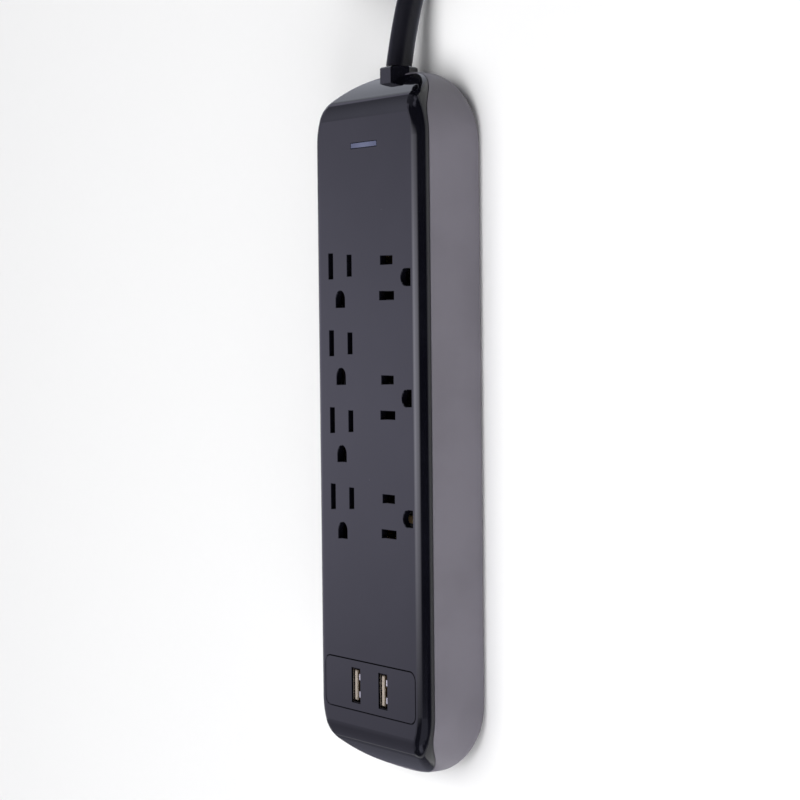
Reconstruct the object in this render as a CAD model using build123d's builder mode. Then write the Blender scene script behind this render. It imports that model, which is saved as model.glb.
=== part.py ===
"""Power strip with seven grounded outlets, two USB charging ports, an indicator bar and a mains lead.

The strip lies on its back: +Z points out of the front face, +Y towards the end where the lead comes in,
and +X to the right when the strip is read from the front with the lead at the top. The origin is on the
back face, in the middle of the body's length and width. All sizes are in millimetres.
"""

import os
from math import cos, pi, radians, sin

from build123d import *

# Body
HALF_WIDTH = 35.5
HALF_LENGTH = 128.1
THICK = 27.5
WALL = 2.2
FRONT_EDGE = 5.0
BACK_EDGE = 3.0
END_ARCH = 8.0
CORNER = 24.0
FRONT_FLAT = 115.5
SLOPE_MIDDLE = (122.9, 19.2)
NOSE = (129.5, 8.0)
BACK_FLAT = 97.5

# Seam between the cover and the base
SEAM_HEIGHT = 23.0
SEAM_FLAT = 113.0
SEAM_DROP = 0.70
SEAM_ROUND = 14.0
SEAM_GAP = 0.4
LIP_HEIGHT = 1.6
LIP_INSET = 1.15
LIP_GAP = 0.1

# Outlets: slots 12.7 mm apart and a ground hole, the left column upright and the right one on its side
LEFT_X = -16.85
LEFT_YS = [57.9, 29.4, 0.8, -27.6]
RIGHT_X = 14.2
RIGHT_YS = [53.0, 10.0, -32.8]
BLADE_OFFSET = 6.35
GROUND_OFFSET = 12.2
SLOT_WIDTH = 2.9
NEUTRAL_SLOT = 9.2
HOT_SLOT = 7.6
GROUND_HOLE = 6.0

# Indicator bar and USB panel
BAR_Y = 101.4
BAR_SIZE = (16.8, 1.7)
USB_Y = -96.5
USB_PANEL = (59.5, 18.2)
USB_CORNER = 3.0
USB_GAP = 0.25
USB_XS = {"left": -9.0, "right": 9.0}
USB_SHELL = (5.7, 12.9)
USB_SHELL_WALL = 0.3
USB_SHELL_TOP = THICK - 0.35
USB_SHELL_HEIGHT = 14.0
USB_BOARD_THICK = 1.6
USB_BOARD_TOP = USB_SHELL_TOP - USB_SHELL_HEIGHT
TONGUE_THICK = 1.84
TONGUE_WIDTH = 11.1
TONGUE_RECESS = 0.45
TONGUE_BLOCK = 4.0
CONTACT_RECESS = 1.0
SPRING_WIDTH = 2.2
SPRING_APART = 3.2
SPRING_REACH = 1.6
SPRING_RECESS = 0.3
RIM_CHAMFER = 0.25

# Fixings and wall hangers
SCREW_PLACES = [(28.5, 76.0), (-28.5, 76.0), (28.5, -60.0), (-28.5, -60.0)]
POST_RADIUS = 3.7
POST_TOP = 12.0
HEAD_SEAT = 8.0
HANGER_Y = 72.5
HANGER_HEAD_RADIUS = 4.2
HANGER_NECK_RADIUS = 2.1
HANGER_RISE = 8.0

# Contacts and their tray
TRAY_FLOOR = 3.2
TRAY_THICK = 2.0
TRAY_SIZE = (62.0, 117.0)
TRAY_Y = 9.5
BUS_FLOOR = TRAY_FLOOR + TRAY_THICK
BUS_THICK = 1.0
BUS_WIDTH = 3.0
LEAF_THICK = 0.6
LEAF_GAP = 1.7
LEAF_LENGTH = 6.4
LEAF_TOP = 22.0
SOCKET_RADIUS = 2.9
SOCKET_WALL = 0.5
SOCKET_TOP = 17.0

# Breaker and its reset button
BREAKER_Y = 92.0
BUTTON_HEIGHT = 13.5
BUTTON_RADIUS = 3.0
BUTTON_PLAY = 0.3
BUTTON_PROUD = 1.8
BUTTON_TRAVEL = 1.5

# Lead, coil and plug
CORD_DIAMETER = 9.5
CORD_RADIUS = CORD_DIAMETER / 2
CORD_HEIGHT = 11.7
COLLAR_RADIUS = 6.9
COLLAR_END = 130.0
COLLAR_START = 118.0
COLLAR_FLANGE = 1.5
COLLAR_FLANGE_SIZE = (18.0, 9.0)
SHEATH_END = 112.0
COIL_X = -10.0
COIL_LOW_Y = 204.0
COIL_STRAIGHT = 36.0
COIL_BEND = 39.0
COIL_PITCH = 9.8
COIL_TURNS = 3
COIL_FLOOR = 1.0
TIE_WIDTH = 12.0
TIE_THICK = 0.9
PLUG_X = 21.2
PLUG_START = 335.0
PLUG_HALF = 12.0
RELIEF_LENGTH = 24.0
PLUG_LENGTH = 30.0
BLADE_LENGTH = 17.0
GROUND_PIN_LENGTH = 20.5

# Points that the free lead turns at, from the collar to the coil and from the coil to the plug
LEAD_ROUTE = [
    (0.0, 130.0, 11.7),
    (0.5, 143.0, 9.9),
    (4.0, 163.0, 6.6),
    (11.5, 183.0, 5.3),
    (20.0, 202.0, 5.5),
    (26.5, 221.0, 5.7),
    (29.0, 240.0, 5.8),
]
TAIL_ROUTE = [
    (29.0, 240.0, 35.1),
    (28.5, 260.0, 34.0),
    (26.6, 281.0, 28.8),
    (23.8, 301.0, 20.4),
    (21.7, 320.0, 14.0),
    (21.2, 335.0, 12.0),
]

os.makedirs("parts", exist_ok=True)


def write(builder, name):
    """Labels a finished sub-part and writes it as one STEP file."""
    builder.part.label = name
    export_step(builder.part, f"parts/{name}.step")


# ---------------------------------------------------------------- body shape


def body_blank(inset, rounded=True):
    """The body's whole shape, shrunk by inset on every side: a plan outline crossed with a side profile."""
    end = HALF_LENGTH - inset
    half = HALF_WIDTH - inset
    with BuildPart() as blank:
        with BuildSketch(Plane.XY):
            with BuildLine():
                Line((half, END_ARCH - end), (half, end - END_ARCH))
                ThreePointArc((half, end - END_ARCH), (0, end), (-half, end - END_ARCH))
                Line((-half, end - END_ARCH), (-half, END_ARCH - end))
                ThreePointArc((-half, END_ARCH - end), (0, -end), (half, END_ARCH - end))
            make_face()
            fillet(vertices(), CORNER - inset)
        extrude(amount=THICK)
        with BuildSketch(Plane.YZ):
            with BuildLine():
                Line((-FRONT_FLAT, THICK), (FRONT_FLAT, THICK))
                ThreePointArc((FRONT_FLAT, THICK), SLOPE_MIDDLE, NOSE)
                TangentArc((BACK_FLAT, 0), NOSE, tangent=(1, 0))
                Line((BACK_FLAT, 0), (-BACK_FLAT, 0))
                TangentArc((-BACK_FLAT, 0), (-NOSE[0], NOSE[1]), tangent=(-1, 0))
                ThreePointArc((-NOSE[0], NOSE[1]), (-SLOPE_MIDDLE[0], SLOPE_MIDDLE[1]), (-FRONT_FLAT, THICK))
            make_face()
            front_corners = vertices().filter_by_position(Axis.Y, THICK - 0.01, THICK + 0.01)
            fillet(front_corners, 10)
            if inset:
                offset(amount=-inset, mode=Mode.REPLACE)
        extrude(amount=HALF_WIDTH + 5, both=True, mode=Mode.INTERSECT)
        if rounded:
            walls = faces().filter_by(lambda face: abs(face.normal_at().Z) < 0.01)
            rim = ShapeList(edge for face in walls for edge in face.edges())
            rim = rim.filter_by(lambda edge: abs(edge.tangent_at(0.5).Z) < 0.9)
            front_rim = rim.filter_by(lambda edge: edge.center().Z > THICK / 2)
            back_rim = rim.filter_by(lambda edge: edge.center().Z < THICK / 2)
            fillet(front_rim, FRONT_EDGE - inset)
            fillet(back_rim, BACK_EDGE - inset / 2)
    return blank.part


def above_seam(shift):
    """The space above the seam, which runs level along the sides and drops towards both ends."""
    far = HALF_LENGTH + 12
    low = SEAM_HEIGHT - SEAM_DROP * (far - SEAM_FLAT)
    with BuildPart() as space:
        with BuildSketch(Plane.YZ):
            with BuildLine():
                Polyline(
                    (-far, low + shift),
                    (-SEAM_FLAT, SEAM_HEIGHT + shift),
                    (SEAM_FLAT, SEAM_HEIGHT + shift),
                    (far, low + shift),
                    (far, THICK + 10),
                    (-far, THICK + 10),
                    close=True,
                )
            make_face()
            seam_corners = vertices().filter_by_position(Axis.X, -SEAM_FLAT - 0.1, SEAM_FLAT + 0.1)
            fillet(seam_corners, SEAM_ROUND)
        extrude(amount=HALF_WIDTH + 5, both=True)
    return space.part


OUTER = body_blank(0)
CAVITY = body_blank(WALL, rounded=False)
LIP_OUTSIDE = body_blank(LIP_INSET, rounded=False)
LIP_CLEARANCE = body_blank(LIP_INSET - LIP_GAP, rounded=False)

# Where each outlet stands and which way it is turned: its slots lie along the turned X axis
OUTLETS = [(LEFT_X, y, 0) for y in LEFT_YS] + [(RIGHT_X, y, 90) for y in RIGHT_YS]
OUTLET_PLANES = [
    Plane(origin=(x, y, 0), x_dir=(cos(radians(turn)), sin(radians(turn)), 0), z_dir=(0, 0, 1))
    for x, y, turn in OUTLETS
]


def outlet_openings():
    """Cuts one outlet: a long neutral slot, a short hot slot and a D-shaped ground hole."""
    with Locations((-BLADE_OFFSET, 0)):
        Rectangle(SLOT_WIDTH, NEUTRAL_SLOT)
    with Locations((BLADE_OFFSET, 0)):
        Rectangle(SLOT_WIDTH, HOT_SLOT)
    ground_y = -GROUND_OFFSET
    with Locations((0, ground_y)):
        Circle(GROUND_HOLE / 2)
    with Locations((0, ground_y - GROUND_HOLE / 4)):
        Rectangle(GROUND_HOLE, GROUND_HOLE / 2)


def hexagon_bar(radius, start, end):
    """A six-sided bar along +Y on the lead's axis, flat on top."""
    with BuildPart() as bar:
        with BuildSketch(Plane(origin=(0, start, CORD_HEIGHT), x_dir=(1, 0, 0), z_dir=(0, 1, 0))):
            RegularPolygon(radius=radius, side_count=6)
        extrude(amount=end - start)
    return bar.part


def rod(start, end, radius):
    """A round bar from one point to another."""
    run = Vector(*end) - Vector(*start)
    with BuildPart() as bar:
        with BuildSketch(Plane(origin=start, z_dir=run)):
            Circle(radius)
        extrude(amount=run.length)
    return bar.part


COLLAR_HOLE = hexagon_bar(COLLAR_RADIUS + 0.12, COLLAR_START - 3, COLLAR_END + 5)

# ---------------------------------------------------------------- casing

with BuildPart() as front_cover:
    add(OUTER)
    add(CAVITY, mode=Mode.SUBTRACT)
    add(above_seam(SEAM_GAP / 2), mode=Mode.INTERSECT)
    lip_room = LIP_CLEARANCE - above_seam(LIP_HEIGHT + SEAM_GAP)
    add(lip_room, mode=Mode.SUBTRACT)
    with BuildSketch(Plane.XY.offset(THICK - WALL)):
        with Locations(*SCREW_PLACES):
            Circle(POST_RADIUS - 0.2)
    extrude(amount=POST_TOP + 0.2 - THICK + WALL)
    with BuildSketch(Plane.XY.offset(POST_TOP)):
        with Locations(*SCREW_PLACES):
            Circle(1.5)
    extrude(amount=10, mode=Mode.SUBTRACT)
    with BuildSketch(*OUTLET_PLANES):
        outlet_openings()
    extrude(amount=THICK + 1, mode=Mode.SUBTRACT)
    with BuildSketch(Plane.XY.offset(THICK + 1)):
        with Locations((0, BAR_Y)):
            Rectangle(BAR_SIZE[0] + 0.1, BAR_SIZE[1] + 0.1)
        with Locations((0, USB_Y)):
            RectangleRounded(USB_PANEL[0] + 2 * USB_GAP, USB_PANEL[1] + 2 * USB_GAP, USB_CORNER + USB_GAP)
    extrude(amount=-WALL - 2, mode=Mode.SUBTRACT)
    front_face = faces().filter_by(Axis.Z).sort_by(Axis.Z)[-1]
    chamfer(ShapeList(edge for wire in front_face.inner_wires() for edge in wire.edges()), RIM_CHAMFER)
    add(COLLAR_HOLE, mode=Mode.SUBTRACT)
write(front_cover, "front_cover")

BUTTON_PLANE = Plane(origin=(-HALF_WIDTH - BUTTON_PROUD, BREAKER_Y, BUTTON_HEIGHT), z_dir=(1, 0, 0))

with BuildPart() as base_shell:
    add(OUTER)
    add(CAVITY, mode=Mode.SUBTRACT)
    add(above_seam(-SEAM_GAP / 2), mode=Mode.SUBTRACT)
    lip = (LIP_OUTSIDE - CAVITY) & (above_seam(-SEAM_GAP / 2 - 0.5) - above_seam(LIP_HEIGHT))
    add(lip)
    with BuildSketch(Plane.XY):
        with Locations(*SCREW_PLACES):
            Circle(POST_RADIUS)
    extrude(amount=POST_TOP)
    with BuildSketch(Plane.XY.offset(WALL - 0.1)):
        for side in (-1, 1):
            with Locations((side * 22, TRAY_Y)):
                Rectangle(2, TRAY_SIZE[1] - 30)
    extrude(amount=TRAY_FLOOR - WALL + 0.1)
    with BuildSketch(Plane.XY.offset(WALL - 0.1)):
        with Locations((0, 92)):
            with GridLocations(36, 20, 2, 2):
                Circle(1.6)
    extrude(amount=5.0 - WALL + 0.1)
    with BuildSketch(Plane.XY.offset(WALL - 0.1)):
        with Locations((0, USB_Y + 4)):
            with GridLocations(44, 18, 2, 2):
                Circle(1.6)
    extrude(amount=USB_BOARD_TOP - USB_BOARD_THICK - WALL + 0.1)
    with BuildSketch(Plane.XY):
        with Locations(*SCREW_PLACES):
            Circle(1.7)
    extrude(amount=POST_TOP, mode=Mode.SUBTRACT)
    with BuildSketch(Plane.XY):
        with Locations(*SCREW_PLACES):
            Circle(3.4)
    extrude(amount=HEAD_SEAT, mode=Mode.SUBTRACT)
    with BuildSketch(Plane.XY):
        for hanger_y in (HANGER_Y, -HANGER_Y):
            with Locations((0, hanger_y)):
                Circle(HANGER_HEAD_RADIUS)
            with Locations((0, hanger_y + HANGER_RISE / 2)):
                Rectangle(2 * HANGER_NECK_RADIUS, HANGER_RISE)
            with Locations((0, hanger_y + HANGER_RISE)):
                Circle(HANGER_NECK_RADIUS)
    extrude(amount=WALL + 1, mode=Mode.SUBTRACT)
    with BuildSketch(BUTTON_PLANE):
        Circle(BUTTON_RADIUS + BUTTON_PLAY)
    extrude(amount=BUTTON_PROUD + WALL + 1, mode=Mode.SUBTRACT)
    add(COLLAR_HOLE, mode=Mode.SUBTRACT)
write(base_shell, "base_shell")

with BuildPart() as cover_screws:
    with BuildSketch(Plane.XY.offset(HEAD_SEAT)):
        with Locations(*SCREW_PLACES):
            Circle(1.42)
    extrude(amount=12)
    with BuildSketch(Plane.XY.offset(HEAD_SEAT)):
        with Locations(*SCREW_PLACES):
            Circle(2.9)
    extrude(amount=-2.2)
    with BuildSketch(Plane.XY.offset(HEAD_SEAT - 2.2)):
        with Locations(*SCREW_PLACES):
            Rectangle(3.2, 0.7)
            Rectangle(0.7, 3.2)
    extrude(amount=1.2, mode=Mode.SUBTRACT)
write(cover_screws, "cover_screws")

# ---------------------------------------------------------------- indicator

with BuildPart() as indicator_lens:
    with BuildSketch(Plane.XY.offset(THICK)):
        with Locations((0, BAR_Y)):
            Rectangle(*BAR_SIZE)
    extrude(amount=-WALL - 0.8)
    with BuildSketch(Plane.XY.offset(THICK - WALL)):
        with Locations((0, BAR_Y)):
            Rectangle(BAR_SIZE[0] + 2.4, BAR_SIZE[1] + 2.4)
    extrude(amount=-0.8)
    with BuildSketch(Plane.XY.offset(THICK - WALL - 0.8)):
        with Locations((0, BAR_Y)):
            Rectangle(5, BAR_SIZE[1])
    extrude(amount=-10.5)
write(indicator_lens, "indicator_lens")

with BuildPart() as indicator_led:
    with BuildSketch(Plane.XY.offset(6.6)):
        with Locations((0, BAR_Y)):
            Circle(1.9)
    extrude(amount=3.4)
    with Locations((0, BAR_Y, 10.0)):
        Sphere(1.5)
write(indicator_led, "indicator_led")

# ---------------------------------------------------------------- USB charger

with BuildPart() as usb_panel:
    with BuildSketch(Plane.XY.offset(THICK)):
        with Locations((0, USB_Y)):
            RectangleRounded(*USB_PANEL, USB_CORNER)
    extrude(amount=-WALL)
    with BuildSketch(Plane.XY.offset(THICK - WALL)):
        with Locations((0, USB_Y)):
            RectangleRounded(USB_PANEL[0] + 3.4, USB_PANEL[1] + 3.4, USB_CORNER + 1.7)
    extrude(amount=-1.2)
    with BuildSketch(Plane.XY.offset(THICK + 1)):
        for port_x in USB_XS.values():
            with Locations((port_x, USB_Y)):
                Rectangle(USB_SHELL[0] + 0.2, USB_SHELL[1] + 0.2)
    extrude(amount=-WALL - 4, mode=Mode.SUBTRACT)
write(usb_panel, "usb_panel")

TONGUE_X = -USB_SHELL[0] / 2 + USB_SHELL_WALL + 0.55 + TONGUE_THICK / 2
inside = (USB_SHELL[0] - 2 * USB_SHELL_WALL, USB_SHELL[1] - 2 * USB_SHELL_WALL)

for side, port_x in USB_XS.items():
    with BuildPart() as usb_shell:
        with BuildSketch(Plane.XY.offset(USB_BOARD_TOP)):
            with Locations((port_x, USB_Y)):
                RectangleRounded(*USB_SHELL, 0.6)
                RectangleRounded(*inside, 0.35, mode=Mode.SUBTRACT)
        extrude(amount=USB_SHELL_HEIGHT)
        spring_x = port_x + USB_SHELL[0] / 2 - USB_SHELL_WALL
        for spring_y in (USB_Y - SPRING_APART, USB_Y + SPRING_APART):
            with BuildSketch(Plane.XZ.offset(-spring_y)):
                with BuildLine():
                    Polyline(
                        (spring_x + 0.1, USB_SHELL_TOP - SPRING_RECESS),
                        (spring_x + 0.1, USB_SHELL_TOP - 6.5),
                        (spring_x - SPRING_REACH, USB_SHELL_TOP - 2.2),
                        (spring_x - SPRING_REACH, USB_SHELL_TOP - SPRING_RECESS),
                        close=True,
                    )
                make_face()
                fillet(vertices().group_by(Axis.X)[0].sort_by(Axis.Y)[-1], 0.4)
            extrude(amount=SPRING_WIDTH / 2, both=True)
    write(usb_shell, f"usb_shell_{side}")

    with BuildPart() as usb_tongue:
        with BuildSketch(Plane.XY.offset(USB_BOARD_TOP)):
            with Locations((port_x, USB_Y)):
                RectangleRounded(inside[0] - 0.1, inside[1] - 0.1, 0.35)
        extrude(amount=TONGUE_BLOCK)
        with BuildSketch(Plane.XY.offset(USB_BOARD_TOP + TONGUE_BLOCK)):
            with Locations((port_x + TONGUE_X, USB_Y)):
                Rectangle(TONGUE_THICK, TONGUE_WIDTH)
        extrude(amount=USB_SHELL_HEIGHT - TONGUE_BLOCK - TONGUE_RECESS)
        chamfer(faces().sort_by(Axis.Z)[-1].edges(), 0.3)
    write(usb_tongue, f"usb_tongue_{side}")

    with BuildPart() as usb_contacts:
        with BuildSketch(Plane.XY.offset(USB_BOARD_TOP + TONGUE_BLOCK)):
            with Locations((port_x + TONGUE_X + TONGUE_THICK / 2 + 0.1, USB_Y)):
                with Locations((0, -3.5), (0, -1.0), (0, 1.0), (0, 3.5)):
                    Rectangle(0.2, 1.0)
        extrude(amount=USB_SHELL_HEIGHT - TONGUE_BLOCK - CONTACT_RECESS)
    write(usb_contacts, f"usb_contacts_{side}")

with BuildPart() as usb_board:
    with BuildSketch(Plane.XY.offset(USB_BOARD_TOP)):
        with Locations((0, USB_Y + 4)):
            Rectangle(52, 26)
    extrude(amount=-USB_BOARD_THICK)
write(usb_board, "usb_board")

with BuildPart() as usb_transformer:
    with BuildSketch(Plane.XY.offset(USB_BOARD_TOP)):
        with Locations((19.0, USB_Y + 4)):
            Rectangle(9, 15)
    extrude(amount=2)
    with BuildSketch(Plane.XY.offset(USB_BOARD_TOP + 2)):
        with Locations((19.0, USB_Y + 4)):
            Rectangle(11, 12)
    extrude(amount=6)
    with BuildSketch(Plane.XY.offset(USB_BOARD_TOP + 8)):
        with Locations((19.0, USB_Y + 4)):
            Rectangle(9, 15)
    extrude(amount=1.5)
write(usb_transformer, "usb_transformer")

with BuildPart() as usb_capacitor:
    with BuildSketch(Plane.XY.offset(USB_BOARD_TOP)):
        with Locations((-19.5, USB_Y + 4)):
            Circle(4)
    extrude(amount=9.5)
    fillet(faces().sort_by(Axis.Z)[-1].edges(), 0.6)
write(usb_capacitor, "usb_capacitor")

# ---------------------------------------------------------------- outlet contacts

with BuildPart() as contact_tray:
    with BuildSketch(Plane.XY.offset(TRAY_FLOOR)):
        with Locations((0, TRAY_Y)):
            Rectangle(*TRAY_SIZE)
    extrude(amount=TRAY_THICK)
    with BuildSketch(Plane.XY.offset(BUS_FLOOR)):
        with Locations((0, TRAY_Y)):
            Rectangle(*TRAY_SIZE)
            Rectangle(TRAY_SIZE[0] - 2.4, TRAY_SIZE[1] - 2.4, mode=Mode.SUBTRACT)
    extrude(amount=5)
    with BuildSketch(Plane.XY.offset(BUS_FLOOR)):
        with Locations((-2.5, 13)):
            Rectangle(1.2, 86)
    extrude(amount=14)
write(contact_tray, "contact_tray")

LEFT_NEUTRAL = LEFT_X - BLADE_OFFSET
LEFT_HOT = LEFT_X + BLADE_OFFSET
RIGHT_GROUND = RIGHT_X + GROUND_OFFSET
HOT_STRIP_X = 7.0
NEUTRAL_STRIP_X = 20.6
BUS_TOP_END = 61.5
HOT_END = -37.5
NEUTRAL_END = -46.0
GROUND_TOP = 66.0
GROUND_LEFT_END = -42.0
GROUND_RIGHT_END = -36.0


def strip(low_x, low_y, high_x, high_y):
    """One flat stretch of a bus bar, between two corners."""
    with Locations(((low_x + high_x) / 2, (low_y + high_y) / 2)):
        Rectangle(high_x - low_x, high_y - low_y)


def blade_clip(x, y, along_x):
    """Two leaves that grip a plug's blade; its wide side runs along X or along Y."""
    apart = (LEAF_GAP + LEAF_THICK) / 2
    with Locations((x, y)):
        if along_x:
            with Locations((0, -apart), (0, apart)):
                Rectangle(LEAF_LENGTH, LEAF_THICK)
        else:
            with Locations((-apart, 0), (apart, 0)):
                Rectangle(LEAF_THICK, LEAF_LENGTH)


half_bus = BUS_WIDTH / 2

with BuildPart() as hot_bus:
    with BuildSketch(Plane.XY.offset(BUS_FLOOR)):
        strip(LEFT_HOT - half_bus, HOT_END, LEFT_HOT + half_bus, BUS_TOP_END)
        strip(HOT_STRIP_X - half_bus, HOT_END, HOT_STRIP_X + half_bus, BUS_TOP_END)
        strip(LEFT_HOT - half_bus, HOT_END, HOT_STRIP_X + half_bus, HOT_END + BUS_WIDTH)
        for y in RIGHT_YS:
            slot_y = y + BLADE_OFFSET
            strip(HOT_STRIP_X, slot_y - half_bus, RIGHT_X + 4, slot_y + half_bus)
    extrude(amount=BUS_THICK)
    with BuildSketch(Plane.XY.offset(BUS_FLOOR)):
        for y in LEFT_YS:
            blade_clip(LEFT_HOT, y, along_x=False)
        for y in RIGHT_YS:
            blade_clip(RIGHT_X, y + BLADE_OFFSET, along_x=True)
    extrude(amount=LEAF_TOP - BUS_FLOOR)
write(hot_bus, "hot_bus")

with BuildPart() as neutral_bus:
    with BuildSketch(Plane.XY.offset(BUS_FLOOR)):
        strip(LEFT_NEUTRAL - half_bus, NEUTRAL_END, LEFT_NEUTRAL + half_bus, BUS_TOP_END)
        strip(NEUTRAL_STRIP_X - 1, NEUTRAL_END, NEUTRAL_STRIP_X + 1, RIGHT_YS[0])
        strip(LEFT_NEUTRAL - half_bus, NEUTRAL_END, NEUTRAL_STRIP_X + 1, NEUTRAL_END + BUS_WIDTH)
        for y in RIGHT_YS:
            slot_y = y - BLADE_OFFSET
            strip(RIGHT_X - 4.2, slot_y - half_bus, NEUTRAL_STRIP_X, slot_y + half_bus)
    extrude(amount=BUS_THICK)
    with BuildSketch(Plane.XY.offset(BUS_FLOOR)):
        for y in LEFT_YS:
            blade_clip(LEFT_NEUTRAL, y, along_x=False)
        for y in RIGHT_YS:
            blade_clip(RIGHT_X, y - BLADE_OFFSET, along_x=True)
    extrude(amount=LEAF_TOP - BUS_FLOOR)
write(neutral_bus, "neutral_bus")

GROUND_PLACES = [(LEFT_X, y - GROUND_OFFSET) for y in LEFT_YS] + [(RIGHT_GROUND, y) for y in RIGHT_YS]
with BuildPart() as ground_bus:
    with BuildSketch(Plane.XY.offset(BUS_FLOOR)):
        strip(LEFT_X - half_bus, GROUND_LEFT_END, LEFT_X + half_bus, GROUND_TOP)
        strip(RIGHT_GROUND - half_bus, GROUND_RIGHT_END, RIGHT_GROUND + half_bus, GROUND_TOP)
        strip(LEFT_X - half_bus, GROUND_TOP - BUS_WIDTH, RIGHT_GROUND + half_bus, GROUND_TOP)
    extrude(amount=BUS_THICK)
    with BuildSketch(Plane.XY.offset(BUS_FLOOR)):
        with Locations(*GROUND_PLACES):
            Circle(SOCKET_RADIUS)
            Circle(SOCKET_RADIUS - SOCKET_WALL, mode=Mode.SUBTRACT)
    extrude(amount=SOCKET_TOP - BUS_FLOOR)
write(ground_bus, "ground_bus")

# ---------------------------------------------------------------- surge protection and breaker

SURGE_TOP = 6.6
with BuildPart() as surge_board:
    with BuildSketch(Plane.XY.offset(SURGE_TOP)):
        with Locations((0, 92)):
            Rectangle(42, 26)
    extrude(amount=-1.6)
write(surge_board, "surge_board")

for name, disc_x in {"hot_to_neutral": -14.0, "hot_to_ground": 0.0, "neutral_to_ground": 14.0}.items():
    with BuildPart() as varistor:
        with BuildSketch(Plane(origin=(disc_x, 81.5, SURGE_TOP + 7.6), z_dir=(0, 1, 0))):
            Circle(6)
        extrude(amount=4.5)
        fillet(edges().filter_by(GeomType.CIRCLE), 1.2)
        with BuildSketch(Plane.XY.offset(SURGE_TOP)):
            with Locations((disc_x - 2.5, 83.75), (disc_x + 2.5, 83.75)):
                Circle(0.4)
        extrude(amount=3)
    write(varistor, f"varistor_{name}")

with BuildPart() as thermal_fuse:
    with BuildSketch(Plane(origin=(-6, 89.2, SURGE_TOP + 2.2), z_dir=(1, 0, 0))):
        Circle(2.0)
    extrude(amount=11)
write(thermal_fuse, "thermal_fuse")

BREAKER_FACE = -HALF_WIDTH + WALL + 0.7
with BuildPart() as circuit_breaker:
    with BuildSketch(Plane(origin=(BREAKER_FACE, BREAKER_Y, BUTTON_HEIGHT), z_dir=(1, 0, 0))):
        Rectangle(17, 16)
    extrude(amount=9.6)
    with BuildSketch(Plane(origin=(BREAKER_FACE, BREAKER_Y, BUTTON_HEIGHT), z_dir=(1, 0, 0))):
        Circle(BUTTON_RADIUS + BUTTON_PLAY)
    extrude(amount=5, mode=Mode.SUBTRACT)
write(circuit_breaker, "circuit_breaker")

with BuildPart() as reset_button:
    with BuildSketch(BUTTON_PLANE):
        Circle(BUTTON_RADIUS)
    extrude(amount=BUTTON_PROUD + WALL + 0.7 + 5 - BUTTON_TRAVEL - 0.3)
    fillet(edges().sort_by(Axis.X)[0], 0.5)
write(reset_button, "reset_button")

# ---------------------------------------------------------------- wires inside


def bend_radius(points, place, share=0.45):
    """The largest arc that the runs on both sides of a turning point leave room for."""
    before = Vector(*points[place]) - Vector(*points[place - 1])
    after = Vector(*points[place + 1]) - Vector(*points[place])
    turn = radians(before.get_angle(after))
    return share * min(before.length, after.length) / (sin(turn / 2) / cos(turn / 2))


def swept_tube(points, radius):
    """A tube of straight runs joined by tangent arcs."""
    radii = [bend_radius(points, place) for place in range(1, len(points) - 1)]
    with BuildPart() as tube:
        with BuildLine() as route:
            FilletPolyline(*points, radius=radii)
        with BuildSketch(Plane(origin=points[0], z_dir=Vector(*points[1]) - Vector(*points[0]))):
            Circle(radius)
        sweep()
    length = route.wires()[0].length
    ratio = tube.part.volume / (pi * radius**2 * length)
    print("tube", round(length, 1), "mm, radii", [round(r, 1) for r in radii], "volume ratio", round(ratio, 3))
    return tube


WIRES = {
    "hot_wire": [(-2.7, 112, 13.2), (-3.4, 109, 13.3), (-10, 104, 14), (-17, 99, 14), (-23, 98, 13.5)],
    "neutral_wire": [(2.7, 112, 13.2), (3.4, 109, 13.3), (9, 103, 14), (12, 98, 11.5), (12.5, 96.5, 6.6)],
    "ground_wire": [
        (0, 112, 9.2),
        (1.5, 109.5, 9.2),
        (9, 105.5, 9.4),
        (17, 104, 9.6),
        (21.2, 96, 9.8),
        (22.6, 84, 11.2),
        (23, 73.5, 12.6),
        (25, 67.5, 12.0),
        (26.4, 64.5, 9.4),
        (26.4, 64.4, 6.2),
    ],
}
for name, points in WIRES.items():
    write(swept_tube(points, 1.3), name)

with BuildPart() as sheath_end:
    add(rod((0, SHEATH_END, CORD_HEIGHT), (0, COLLAR_START - COLLAR_FLANGE, CORD_HEIGHT), CORD_RADIUS))
write(sheath_end, "sheath_end")

# ---------------------------------------------------------------- lead, coil and plug

with BuildPart() as cord_collar:
    add(hexagon_bar(COLLAR_RADIUS, COLLAR_START, COLLAR_END))
    chamfer(faces().sort_by(Axis.Y)[-1].edges(), 0.5)
    with BuildSketch(Plane(origin=(0, COLLAR_START, CORD_HEIGHT), x_dir=(1, 0, 0), z_dir=(0, -1, 0))):
        Rectangle(*COLLAR_FLANGE_SIZE)
    extrude(amount=COLLAR_FLANGE)
write(cord_collar, "cord_collar")

write(swept_tube(LEAD_ROUTE, CORD_RADIUS), "cord_lead")
write(swept_tube(TAIL_ROUTE, CORD_RADIUS), "cord_tail")

COIL_MIDDLE_Y = COIL_LOW_Y + COIL_STRAIGHT / 2
COIL_HEIGHT = CORD_DIAMETER + COIL_TURNS * COIL_PITCH
turn_length = 2 * pi * COIL_BEND + 2 * COIL_STRAIGHT
print("coiled length", round(COIL_TURNS * turn_length), "mm")

with BuildPart() as cord_coil:
    with BuildSketch(Plane(origin=(COIL_X, COIL_MIDDLE_Y, COIL_FLOOR), x_dir=(0, 1, 0), z_dir=(0, 0, 1))):
        SlotCenterToCenter(COIL_STRAIGHT, 2 * (COIL_BEND + CORD_RADIUS))
        SlotCenterToCenter(COIL_STRAIGHT, 2 * (COIL_BEND - CORD_RADIUS), mode=Mode.SUBTRACT)
    extrude(amount=COIL_HEIGHT)
write(cord_coil, "cord_coil")

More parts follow.
